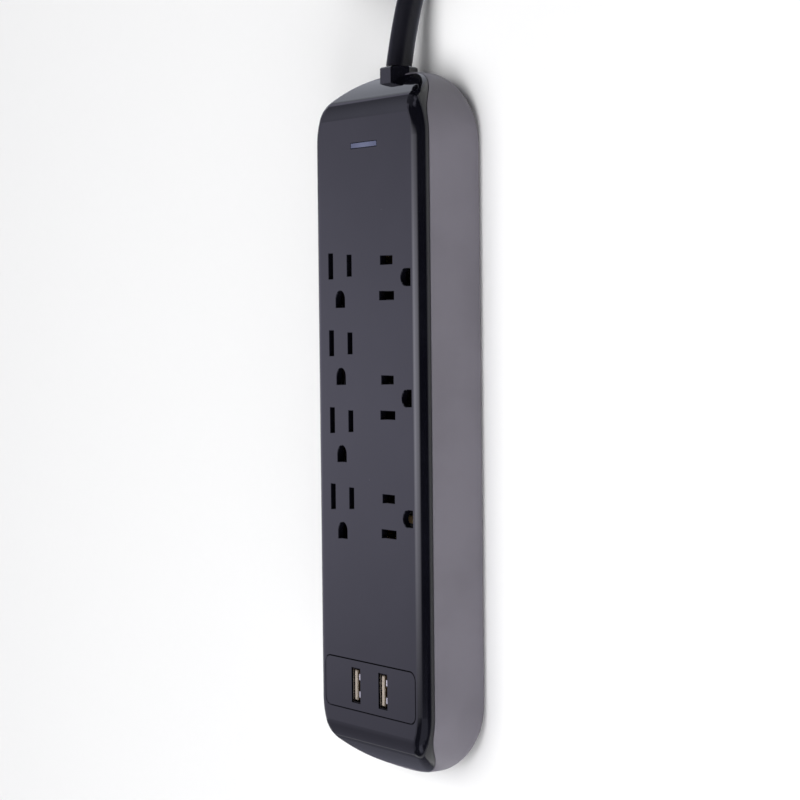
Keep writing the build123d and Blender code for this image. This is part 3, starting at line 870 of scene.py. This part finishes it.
    def make(self) -> list[bpy.types.Object]:
        """Builds the plug.

        Returns:
            The pieces that lie on the lead.
        """
        pins = ("hot_blade", "neutral_blade", "ground_pin")
        dress(Surface.BRASS, *pins)
        return [self.relief(), self.shell(), self.grips(), *(NODES[name] for name in pins)]


@dataclass
class Strap:
    """The hook and loop strap that holds the coil's turns together."""

    across: tuple[float, float] = (-54.0 * MM, -44.0 * MM)
    height: tuple[float, float] = (0.9 * MM, 30.9 * MM)
    middle_y: float = 222.0 * MM
    width: float = 12.0 * MM
    thick: float = 0.8 * MM
    round_off: float = 3.6 * MM
    overlap: float = 18.0 * MM
    tuck: float = 4.0 * MM
    # how far outside the turns its two layers run, in thicknesses
    layers: tuple[float, float] = (0.1, 1.15)
    bend_steps: int = 8

    def loop(self, stand_off: float) -> list[tuple[float, float]]:
        """The strap's line round the turns, outwards by a distance.

        Args:
            stand_off: How far outside the turns the line runs.

        Returns:
            Points across the coil, as X and Z.
        """
        low_x, high_x = self.across[0] - stand_off, self.across[1] + stand_off
        low_z, high_z = self.height[0] - stand_off, self.height[1] + stand_off
        bend = self.round_off + stand_off
        corners = (
            (low_x + bend, high_z - bend, 90),
            (low_x + bend, low_z + bend, 180),
            (high_x - bend, low_z + bend, 270),
            (high_x - bend, high_z - bend, 0),
        )
        line = []
        for x, z, start in corners:
            for step in range(self.bend_steps + 1):
                turn = math.radians(start + step * 90 / self.bend_steps)
                line.append((x + bend * math.cos(turn), z + bend * math.sin(turn)))
        return line

    def make(self) -> bpy.types.Object:
        """Builds the strap: once round, with its end lapped over the outside.

        Returns:
            The strap.
        """
        inner, outer = (self.loop(self.thick * layer) for layer in self.layers)
        last = self.bend_steps
        end = (outer[last][0], outer[last][1] - self.overlap)
        line = [(inner[-1 - last][0] - self.tuck, inner[0][1]), *inner[1:], *outer[1 : last + 1], end]
        middle = Vector((sum(self.across) / 2, 0, sum(self.height) / 2))
        rings = []
        for place, (x, z) in enumerate(line):
            before, after = line[max(place - 1, 0)], line[min(place + 1, len(line) - 1)]
            run = Vector((after[0] - before[0], 0, after[1] - before[1])).normalized()
            out = Vector((run.z, 0, -run.x)) * self.thick
            if out.dot(Vector((x, 0, z)) - middle) < 0:
                out = -out
            ring = []
            for side, lift in ((-1, 0), (1, 0), (1, 1), (-1, 1)):
                ring.append(Vector((x, self.middle_y + side * self.width / 2, z)) + out * lift)
            rings.append(ring)
        return add_piece("coil_strap", skin_rings("coil_strap", rings), Surface.TIE_BLACK, ["cord_tie"])


@dataclass
class MainsLead:
    """The mains lead: out of the collar, down to the floor, three stacked turns, then the plug."""

    diameter: float = 9.5 * MM
    length: float = 1.165
    # the lead's route before and after the coil, in millimetres
    lead_route: tuple[Point, ...] = (
        (0.0, 130.0, 11.7),
        (0.5, 143.0, 9.9),
        (4.0, 163.0, 6.6),
        (11.5, 183.0, 5.3),
        (20.0, 202.0, 5.5),
        (26.5, 221.0, 5.7),
    )
    tail_route: tuple[Point, ...] = (
        (28.5, 260.0, 34.0),
        (26.6, 281.0, 28.8),
        (23.8, 301.0, 20.4),
        (21.7, 320.0, 14.0),
        (21.2, 335.0, 12.0),
    )
    coil_x: float = -10.0
    coil_low_y: float = 204.0
    coil_straight: float = 36.0
    coil_bend: float = 39.0
    coil_pitch: float = 9.8
    coil_floor: float = 5.75
    turns: int = 3
    bend_points: int = 6
    # the share of a turn at which it starts and ends its climb
    rise: tuple[float, float] = (0.42, 0.74)
    # where a turn humps over the one under it, as a share of the turn, how far that reaches and how high
    hump_at: float = 0.76
    hump_reach: float = 0.16
    hump: float = 1.1
    smoothness: int = 8

    def rise_at(self, share: float) -> float:
        """How far a turn has climbed.

        Args:
            share: How much of the turn is done, from 0 to 1.

        Returns:
            The climb in pitches, from 0 to 1.
        """
        step = min(1.0, max(0.0, (share - self.rise[0]) / (self.rise[1] - self.rise[0])))
        return step * step * (3 - 2 * step)

    def turn_points(self) -> list[tuple[float, float, float]]:
        """One turn of the oval.

        Returns:
            Its points, as X, Y and the share of the turn that is done.
        """
        half = math.pi * self.coil_bend
        whole = 2 * half + 2 * self.coil_straight
        step = math.pi / self.bend_points
        reach = self.coil_bend / math.cos(step / 2)
        points = []
        for centre_y, start, done in (
            (self.coil_low_y + self.coil_straight, 0.0, 0.0),
            (self.coil_low_y, math.pi, half + self.coil_straight),
        ):
            for place in range(self.bend_points):
                turn = start + step * (place + 0.5)
                x = self.coil_x + reach * math.cos(turn)
                share = (done + half * (place + 0.5) / self.bend_points) / whole
                points.append((x, centre_y + reach * math.sin(turn), share))
        return points

    def coil_route(self) -> list[Point]:
        """The turns of the coil, each climbing over the one before in the same place.

        Returns:
            The coil's points.
        """
        route = []
        for turn in range(self.turns):
            for x, y, share in self.turn_points():
                bump = self.hump * max(0.0, 1 - abs(share - self.hump_at) / self.hump_reach)
                climb = self.coil_pitch * (turn + self.rise_at(share))
                route.append((x, y, self.coil_floor + climb + bump))
        return route

    def make(self, on_it: list[bpy.types.Object]) -> bpy.types.Object:
        """Args:
            on_it: The pieces that lie on the lead; not used.

        Returns:
            The lead.
        """
        route = [*self.lead_route, *self.coil_route(), *self.tail_route]
        curve = bpy.data.curves.new("mains_lead", "CURVE")
        curve.dimensions = "3D"
        spline = curve.splines.new("NURBS")
        spline.points.add(len(route) - 1)
        for point, place in zip(spline.points, route):
            point.co = (*(part * MM for part in place), 1.0)
        spline.order_u = 3
        spline.use_endpoint_u = True
        spline.resolution_u = self.smoothness
        curve.bevel_depth = self.diameter / 2
        curve.bevel_resolution = self.smoothness
        curve.use_fill_caps = True
        solids = ["cord_lead", "cord_coil", "cord_tail"]
        lead = add_piece("mains_lead", curve, Surface.CORD_BLACK, solids)
        return lead


def set_stage(name: str, build: bmesh.types.BMesh, material: bpy.types.Material) -> bpy.types.Object:
    """Turns a finished shape into an object of the stage.

    Args:
        name: The object's name.
        build: Its shape, which is freed.
        material: Its material.

    Returns:
        The object.
    """
    mesh = bpy.data.meshes.new(name)
    build.to_mesh(mesh)
    build.free()
    mesh.materials.append(material)
    made = bpy.data.objects.new(name, mesh)
    bpy.context.scene.collection.objects.link(made)
    return made


@dataclass(frozen=True)
class Card:
    """A glowing card with fading edges that shows in reflections alone.

    The glow is at one end and at the other of the axis that glow_axis names: 0 along the width, 1 along
    the height. soft says how far the edges fade in from the ends of the width and of the height.
    """

    name: str
    place: Point
    width: float
    height: float
    colour: Colour
    glow: tuple[float, float]
    soft: tuple[float, float] = (0.1, 0.1)
    glow_axis: int = 0

    def material(self) -> bpy.types.Material:
        """A glow that changes along the card and fades out towards its edges.

        Returns:
            The material.
        """
        made, graph = blank_material(self.name)
        split = graph.node("ShaderNodeSeparateXYZ", links={0: graph.place()}).socket.node
        mask: Value | float = 1.0
        for axis, (size, soft) in enumerate(zip((self.width, self.height), self.soft)):
            reach = Value(graph, split.outputs[axis]).maths("ABSOLUTE")
            mask = reach.smooth(size / 2, size / 2 - soft) * mask
        half = (self.width, self.height)[self.glow_axis] / 2
        along = Value(graph, split.outputs[self.glow_axis]).smooth(-half, half, *self.glow)
        glow = graph.node("ShaderNodeEmission", links={"Color": (*self.colour, 1.0), "Strength": along})
        clear = graph.node("ShaderNodeBsdfTransparent")
        blend = graph.node("ShaderNodeMixShader", links={0: mask, 1: clear, 2: glow})
        graph.node("ShaderNodeOutputMaterial", links={0: blend})
        return made

    def make(self, aim: Point) -> None:
        """Stands the card up, facing a point, with its width as near to +Y as that allows.

        Args:
            aim: The point that it faces.
        """
        build = bmesh.new()
        scale = Matrix.Diagonal((self.width / 2, self.height / 2, 1, 1))
        bmesh.ops.create_grid(build, x_segments=2, y_segments=2, size=1.0, matrix=scale)
        card = set_stage(self.name, build, self.material())
        card.matrix_world = facing(self.place, aim)
        card.visible_camera = card.visible_diffuse = False
        card.visible_shadow = card.visible_transmission = False


def facing(place: Point, aim: Point) -> Matrix:
    """Where a card or lamp stands, with its back away from a point.

    Args:
        place: Its middle.
        aim: The point that it faces.

    Returns:
        Its matrix, with local X as near to +Y as it can be.
    """
    away = (Vector(place) - Vector(aim)).normalized()
    upward = away.cross(Vector((0, 1, 0))).normalized()
    return Matrix.Translation(place) @ Matrix((upward.cross(away), upward, away)).transposed().to_4x4()


@dataclass
class Studio:
    """The pale floor, the soft lights and the camera."""

    eye: Point = (0.7125, 0.03914, 0.48777)
    up: Point = (-0.0240, 0.9993, -0.0286)
    back: Point = (0.8315, 0.0358, 0.5544)
    lens: float = 105.1
    aim: Point = (0.0, 0.0, 0.015)
    cards: tuple[Card, ...] = (
        Card("back_panel", (-1.342, 0.1, 0.684), 3.2, 1.5, (0.8, 0.78, 1.0), (0.28, 0.72), (0.1, 0.03)),
        Card("back_glow", (-1.3, -0.05, 0.72), 1.2, 1.3, (0.8, 0.78, 1.0), (1.22, 1.22), (0.65, 0.05)),
        Card("edge_strip", (-0.316, -0.02, 1.209), 0.8, 1.76, (0.88, 0.87, 1.0), (2.8, 5.0), (0.39, 0.55), 1),
        Card("arch_flag", (-0.45, 0.4, 0.245), 0.6, 0.36, (0.8, 0.8, 1.0), (0.85, 0.25), (0.1, 0.02), 1),
        Card("low_fill", (0.55, -0.68, 1.0), 1.0, 1.5, (0.8, 0.8, 1.0), (0.45, 0.45), (0.2, 0.3)),
        Card("far_glow", (0.1, 1.45, 0.9), 1.5, 0.9, (0.8, 0.8, 1.0), (0.9, 0.9), (0.5, 0.3)),
        Card("near_glow", (0.1, -1.45, 0.9), 1.5, 0.9, (0.8, 0.8, 1.0), (0.9, 0.9), (0.5, 0.3)),
        Card("near_low", (-0.84, -0.73, 0.0008), 1.2, 1.72, (0.8, 0.8, 1.0), (0.22, 0.22), (0.01, 0.01)),
        Card("far_low", (-0.84, 0.73, 0.0008), 1.2, 1.72, (0.85, 0.88, 1.0), (0.25, 0.85), (0.01, 0.01), 1),
        Card("high_flag", (-0.1, 0.3, 0.165), 0.2, 0.27, (0.8, 0.8, 1.0), (0.2, 0.2), (0.02, 0.02)),
    )
    # name, place, width, height and power of the lamps, which show in no reflection
    lamps: tuple[tuple[str, Point, float, float, float], ...] = (
        ("overhead", (0.1, 0.0, 1.8), 2.4, 2.4, 42.0),
        ("side_fill", (1.2, -1.25, 0.6), 1.2, 1.2, 27.0),
    )
    sensor: float = 36.0
    near_clip: float = 0.01
    pale: Colour = (0.93, 0.93, 0.935)
    # the surround's colour, its glow near the horizon and overhead, and the sines of the heights between
    sky: Colour = (0.93, 0.94, 1.0)
    surround: tuple[float, float] = (0.75, 0.02)
    surround_fade: tuple[float, float] = (0.08, 0.2)
    floor_reach: float = 8.0
    floor_cells: int = 8
    floor_roughness: float = 0.9
    wall_sides: int = 96
    wall_radius: float = 6.0
    wall_height: float = 8.0
    sheet_lift: float = 0.0006
    floor_drop: float = 0.0002
    # how far from the middle the pale sheet starts and is full
    sheet_fade: tuple[float, float] = (0.75, 1.3)

    def floor(self) -> None:
        """Lays the floor."""
        build = bmesh.new()
        drop = Matrix.Translation((0, 0, -self.floor_drop))
        cells = {"x_segments": self.floor_cells, "y_segments": self.floor_cells}
        bmesh.ops.create_grid(build, size=self.floor_reach, matrix=drop, **cells)
        set_stage("floor", build, Paper("floor_paper", self.pale, self.floor_roughness).material())

    def backdrop(self) -> None:
        """Covers the far floor with a pale sheet that turns up into a wall; only the camera sees it."""
        build = bmesh.new()
        lift = Matrix.Translation((0, 0, self.sheet_lift))
        edge = {"cap_ends": True, "segments": self.wall_sides}
        bmesh.ops.create_circle(build, radius=self.wall_radius, matrix=lift, **edge)
        upward = Matrix.Translation((0, 0, self.wall_height / 2))
        sizes = {"radius1": self.wall_radius, "radius2": self.wall_radius, "depth": self.wall_height}
        bmesh.ops.create_cone(build, matrix=upward, cap_ends=False, segments=self.wall_sides, **sizes)
        made, graph = blank_material("backdrop")
        settings = {"operation": "LENGTH"}
        reach = graph.node("ShaderNodeVectorMath", settings, {0: graph.place()}, output="Value")
        glow = graph.node("ShaderNodeEmission", links={"Color": (*self.pale, 1.0), "Strength": 1.0})
        clear = graph.node("ShaderNodeBsdfTransparent")
        fade = {0: reach.smooth(*self.sheet_fade), 1: clear, 2: glow}
        graph.node("ShaderNodeOutputMaterial", links={0: graph.node("ShaderNodeMixShader", links=fade)})
        wall = set_stage("backdrop", build, made)
        wall.visible_diffuse = wall.visible_glossy = False
        wall.visible_shadow = wall.visible_transmission = False

    def lights(self) -> None:
        """Stands the cards and hangs the lamps, under a dark dome with a pale horizon."""
        for card in self.cards:
            lies_flat = card.place[2] < MM
            card.make((*card.place[:2], 1.0) if lies_flat else self.aim)
        for name, place, width, height, power in self.lamps:
            lamp = bpy.data.lights.new(name, "AREA")
            lamp.shape = "RECTANGLE"
            lamp.size, lamp.size_y = width, height
            lamp.energy = power
            holder = bpy.data.objects.new(name, lamp)
            holder.matrix_world = facing(place, self.aim)
            holder.visible_glossy = False
            holder.visible_camera = False
            bpy.context.scene.collection.objects.link(holder)
        world = bpy.data.worlds.new("surround")
        world.use_nodes = True
        graph = Graph(world.node_tree)
        direction = graph.node("ShaderNodeTexCoord", output="Generated")
        rise = graph.node("ShaderNodeSeparateXYZ", links={0: direction}, output=2)
        strength = rise.smooth(*self.surround_fade, *self.surround)
        glow = graph.node("ShaderNodeBackground", links={"Color": (*self.sky, 1.0), "Strength": strength})
        graph.node("ShaderNodeOutputWorld", links={"Surface": glow})
        bpy.context.scene.world = world

    def camera(self) -> None:
        """Sets the camera and a plain view transform."""
        data = bpy.data.cameras.new("camera")
        data.lens = self.lens
        data.sensor_width = self.sensor
        data.clip_start = self.near_clip
        camera = bpy.data.objects.new("camera", data)
        back = Vector(self.back).normalized()
        right = Vector(self.up).cross(back).normalized()
        axes = Matrix((right, back.cross(right), back)).transposed().to_4x4()
        camera.matrix_world = Matrix.Translation(self.eye) @ axes
        bpy.context.scene.collection.objects.link(camera)
        bpy.context.scene.camera = camera
        bpy.context.scene.view_settings.view_transform = "Standard"

    def make(self) -> None:
        """Builds the floor, the backdrop, the lights and the camera."""
        self.floor()
        self.backdrop()
        self.lights()
        self.camera()


def main() -> None:
    """Builds the camera and the lead first, then the rest."""
    logging.basicConfig(level=logging.INFO, format="%(name)s: %(message)s")
    Studio().make()
    dress(Surface.COLLAR_BLACK, "cord_collar")
    dress(Surface.CORD_BLACK, "sheath_end")
    on_it = [NODES["cord_collar"], Strap().make(), *Plug().make()]
    MainsLead().make(on_it)
    steps: list[Callable[[], None]] = [Casing().make, Charger().make, Wiring().make]
    for step in steps:
        step()


if __name__ == "__main__":
    main()
